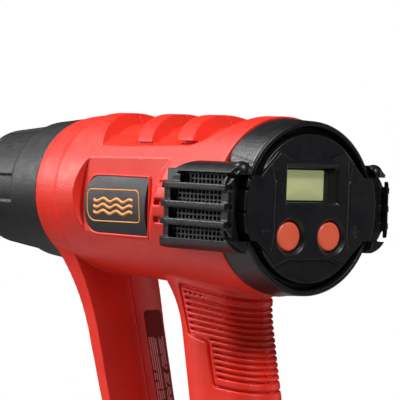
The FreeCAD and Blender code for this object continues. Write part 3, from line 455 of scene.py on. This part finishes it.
# ---------------------------------------------------------------- moulded shells
FINE, COVER, HOUSING, GUARD = 0.3 * MM, 0.4 * MM, 0.42 * MM, 0.5 * MM
for name, voxel, passes in (
    ("housing_left", HOUSING, 2),
    ("housing_right", HOUSING, 2),
    ("intake_grille_left", FINE, 3),
    ("intake_grille_right", FINE, 3),
    ("rear_cover", COVER, 3),
    ("rear_collar", COVER, 3),
    ("nose_guard", GUARD, 4),
    ("minus_button", FINE, 6),
    ("plus_button", FINE, 6),
):
    moulded(name, voxel, passes)


# ---------------------------------------------------------------- crowned name plates with a heat mark
PLATE_MIDDLE, PLATE_HALF, PLATE_CROWN, CROWN_DROP = -2.6, 14.0, 37.4, 1.2
FACE_DEPTH = 0.55  # how much of the plate, from its flat CAD face inwards, is lifted to the crown
FRAME_CORNERS = [(119.2, 4.3), (118.6, -10.9), (77.8, -10.3), (79.6, 4.9)]
FRAME_RADII, FRAME_WIDTH = (3.0, 6.5, 2.5, 3.0), 0.62
WAVE_REAR, WAVE_LENGTH, WAVE_TOP, WAVE_PITCH = 83.5, 30.5, -0.5, 2.9
WAVE_ROWS, WAVE_STEPS, WAVE_HEIGHT, WAVE_WIDTH, CRESTS = 3, 48, 0.75, 1.5, 3
LIP_CORNERS = [(72.5, 11.6), (117.8, 11.6), (123.0, -3.0), (119.5, -16.9), (72.0, -16.9)]
LIP_RADII, LIP_SIDE, LIP_BEAD = (1.0, 7.0, 5.0, 9.0, 1.0), 36.35, 0.55


def crown(z):
    """How far the plate's face lies from the middle plane at a height."""
    return PLATE_CROWN - CROWN_DROP * ((z - PLATE_MIDDLE) / PLATE_HALF) ** 2


def ribbon(name, side, path, width, closed=False):
    """A printed line of even width on the plate, its face proud and its edges sunk a little."""
    edge, face, sunk, proud = 1.0, 0.8, -0.1, 0.22
    points = []
    for i, here in enumerate(path):
        along = heading(path, i, closed)
        out = Vector((along.y, -along.x)) * width / 2
        for reach, lift in ((-edge, sunk), (-face, proud), (face, proud), (edge, sunk)):
            x, z = here + reach * out
            points.append(at(x, side * (crown(z) + lift), z))
    return mesh_object(name, points, skin(len(path), 4, closed, 3))


def heat_wave(row, side):
    path = []
    for step in range(WAVE_STEPS + 1):
        part = step / WAVE_STEPS
        swing = WAVE_HEIGHT * math.sin(2 * math.pi * CRESTS * part)
        path.append(Vector((WAVE_REAR + WAVE_LENGTH * part, WAVE_TOP - WAVE_PITCH * row + swing)))
    return ribbon(f"wave_{row}", side, path, WAVE_WIDTH)


def name_plate(label, side):
    node = f"name_plate_{label}"
    plate = moulded(node, FINE, 3)
    flat = max(abs(corner.y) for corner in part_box(node)) / MM
    for vertex in plate.data.vertices:
        if abs(vertex.co.y) > (flat - FACE_DEPTH) * MM:
            z = vertex.co.z / MM - AXIS_HEIGHT
            vertex.co.y += side * (crown(z) - flat) * MM
    frame_path = rounded(FRAME_CORNERS, FRAME_RADII)
    frame_line = ribbon(f"plate_frame_{label}", side, frame_path, FRAME_WIDTH, closed=True)
    mark = joined(f"heat_mark_{label}", [heat_wave(row, side) for row in range(WAVE_ROWS)])
    lip = [at(p.x, side * LIP_SIDE, p.y) for p in rounded(LIP_CORNERS, LIP_RADII)]
    bead = swept(f"plate_lip_{label}", lip, LIP_BEAD * MM, closed=True)
    for obj in (frame_line, mark):
        finished(obj, "orange_button", "casing", material=ORANGE_PRINT)
    finished(bead, "red_plastic", "casing")


# ---------------------------------------------------------------- dust filters behind the intake meshes
def dust_filter(label, side):
    """A thin pad of dark open foam behind the mesh, its outer face covered in small cells."""
    columns, rows = 88, 64
    margin, gap, thickness, cell_depth = 0.4 * MM, 0.3 * MM, 0.8 * MM, 0.2 * MM
    cell_turn_x, cell_turn_z = 2.3, 2.1
    low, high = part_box(f"filter_mesh_{label}")
    width, height = high.x - low.x - 2 * margin, high.z - low.z - 2 * margin
    outer = min(abs(low.y), abs(high.y)) - gap
    points = []
    for y, depth in ((outer - thickness, 0.0), (outer, cell_depth)):
        for i in range(columns + 1):
            for k in range(rows + 1):
                cell = math.sin(cell_turn_x * i) * math.sin(cell_turn_z * k)
                x = low.x + margin + width * i / columns
                z = low.z + margin + height * k / rows
                points.append((x, side * (y + depth * cell), z))

    def turned(face, outward):
        return face if outward else face[::-1]

    sheet = (columns + 1) * (rows + 1)
    faces = []
    for layer in (0, sheet):
        for i in range(columns):
            for k in range(rows):
                a = layer + i * (rows + 1) + k
                faces.append(turned((a, a + rows + 1, a + rows + 2, a + 1), (layer > 0) == (side < 0)))
    rim = [i * (rows + 1) for i in range(columns + 1)]
    rim += [columns * (rows + 1) + k for k in range(1, rows + 1)]
    rim += [i * (rows + 1) + rows for i in range(columns - 1, -1, -1)]
    rim += list(range(rows - 1, 0, -1))
    for a, b in zip(rim, rim[1:] + rim[:1]):
        faces.append(turned((a, b, b + sheet, a + sheet), side < 0))
    pad = mesh_object(f"dust_filter_{label}", points, faces)
    finished(pad, "wire_mesh", "casing", material=FOAM)


SIDES = (("left", 1), ("right", -1))
for label, side in SIDES:
    name_plate(label, side)
for label, side in SIDES:
    dust_filter(label, side)


# ---------------------------------------------------------------- display
def display_face():
    """The active part of the display, which carries the painted glow: a thin pad with round corners
    ahead of the module's face.
    """
    right, left, bottom, top, corner = -11.6, 14.4, 3.7, 17.6, 0.8
    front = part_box("lcd_module")[0].x / MM + BASE_CENTRE
    path = rounded([(right, top), (left, top), (left, bottom), (right, bottom)], [corner] * 4)
    count = len(path)
    centre = sum(path, Vector((0.0, 0.0))) / count
    points = [at(front - 0.65, *centre)]
    for scale, back in ((0.96, -0.6), (1.0, -0.35), (1.0, 0.05)):
        points += [at(front + back, *(centre + (p - centre) * scale)) for p in path]
    faces = []
    for k in range(count):
        n = (k + 1) % count
        faces.append((0, 1 + n, 1 + k))
        for here in (1, 1 + count):
            there = here + count
            faces.append((here + k, here + n, there + n, there + k))
    finished(mesh_object("display_face", points, faces), "lcd", "casing", material=DISPLAY_PAINTED_GLOW)


display_face()


# ---------------------------------------------------------------- heater coils
def heater_coils():
    """Six helices of resistance wire, each round the middle line of its CAD tube."""
    coil_count, turns, steps = 6, 30, 14
    tube_rad, coil_rad, wire_rad = 3.3 * MM, 2.8 * MM, 0.34 * MM
    low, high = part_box("heating_coils")
    ring_rad = high.y - tube_rad
    middle = (low.z + high.z) / 2
    coils = []
    for i in range(coil_count):
        angle = 2 * math.pi * i / coil_count
        y, z = ring_rad * math.cos(angle), middle + ring_rad * math.sin(angle)
        path = []
        for step in range(turns * steps + 1):
            turn = 2 * math.pi * step / steps
            x = low.x + (high.x - low.x) * step / (turns * steps)
            path.append(Vector((x, y + coil_rad * math.cos(turn), z + coil_rad * math.sin(turn))))
        coils.append(swept(f"coil_{i}", path, wire_rad, sides=6))
    finished(joined("coil_wires", coils), "heating_wire", "casing", "heating_coils")


heater_coils()


# ---------------------------------------------------------------- materials of the CAD nodes that stay
for name, obj in NODES.items():
    obj.data.materials.clear()
    obj.data.materials.append(MATERIALS[SLOT_OF[name]])
NODES["nozzle_tube"].data.materials[0] = heat_tinted_steel()


# ---------------------------------------------------------------- camera, light and floor
def camera():
    """A long lens behind the gun's left side, level with the barrel and rolled a little."""
    azimuth, elevation, roll = math.radians(39.68), math.radians(1.37), math.radians(1.97)
    distance = 1203.08 * MM
    target = at(78.83, 0.0, 0.89)
    back = Vector((
        -math.cos(azimuth) * math.cos(elevation),
        math.sin(azimuth) * math.cos(elevation),
        math.sin(elevation),
    ))
    data = bpy.data.cameras.new("camera")
    data.lens, data.sensor_width = 225.0, 36.0
    data.clip_start, data.clip_end = 0.01, 200.0
    obj = new_object("camera", data)
    turn = (-back).to_track_quat("-Z", "Y").to_matrix() @ Matrix.Rotation(roll, 3, "Z")
    obj.matrix_world = Matrix.Translation(target + back * distance) @ turn.to_4x4()
    bpy.context.scene.camera = obj


LIGHT_AIM = (0.02, 0.0, 0.15)
LIGHTS = {  # name: place in metres, width and height in metres, power in watts
    "key": ((0.70, 0.70, 1.40), (0.5, 0.5), 25.0),
    "front_left": ((1.25, 0.90, 0.60), (0.7, 0.4), 12.5),
    "rear_high": ((-1.15, 0.25, 1.45), (0.4, 0.4), 20.0),
    "rear_strip": ((-1.45, 0.35, 0.35), (0.1, 0.5), 0.8),
    "rim": ((-0.5, -1.4, 0.3), (0.3, 0.8), 2.0),
}
AMBIENT, BACKDROP = 0.02, 1.0


def area_light(name, place, size, power):
    data = bpy.data.lights.new(name, "AREA")
    data.shape = "RECTANGLE"
    data.size, data.size_y = size
    data.energy = power
    obj = new_object(name, data)
    obj.location = place
    obj.rotation_mode = "QUATERNION"
    obj.rotation_quaternion = (Vector(LIGHT_AIM) - Vector(place)).to_track_quat("-Z", "Y")


def world():
    """White where the camera sees past the floor, and only a faint light on the gun."""
    made = bpy.data.worlds.new("studio")
    made.use_nodes = True
    nodes, links = made.node_tree.nodes, made.node_tree.links
    ambient, backdrop = nodes["Background"], nodes.new("ShaderNodeBackground")
    for shader, strength in ((ambient, AMBIENT), (backdrop, BACKDROP)):
        shader.inputs["Color"].default_value = (1.0, 1.0, 1.0, 1.0)
        shader.inputs["Strength"].default_value = strength
    rays, mix = nodes.new("ShaderNodeLightPath"), nodes.new("ShaderNodeMixShader")
    links.new(rays.outputs["Is Camera Ray"], mix.inputs["Fac"])
    links.new(ambient.outputs["Background"], mix.inputs[1])
    links.new(backdrop.outputs["Background"], mix.inputs[2])
    links.new(mix.outputs["Shader"], nodes["World Output"].inputs["Surface"])
    bpy.context.scene.world = made
    bpy.context.scene.view_settings.view_transform = "Standard"


def floor():
    """A pale square table top under the gun."""
    reach = 0.35
    corners = [(-reach, -reach, 0), (reach, -reach, 0), (reach, reach, 0), (-reach, reach, 0)]
    obj = mesh_object("floor", corners, [(0, 1, 2, 3)])
    made = Shader("floor_pale", (0.38, 0.38, 0.38), 0.8)
    made.roughness_from(made.noise(3.0), 0.75, 0.85)
    obj.data.materials.append(made.material)


camera()
for name, (place, size, power) in LIGHTS.items():
    area_light(name, place, size, power)
world()
floor()
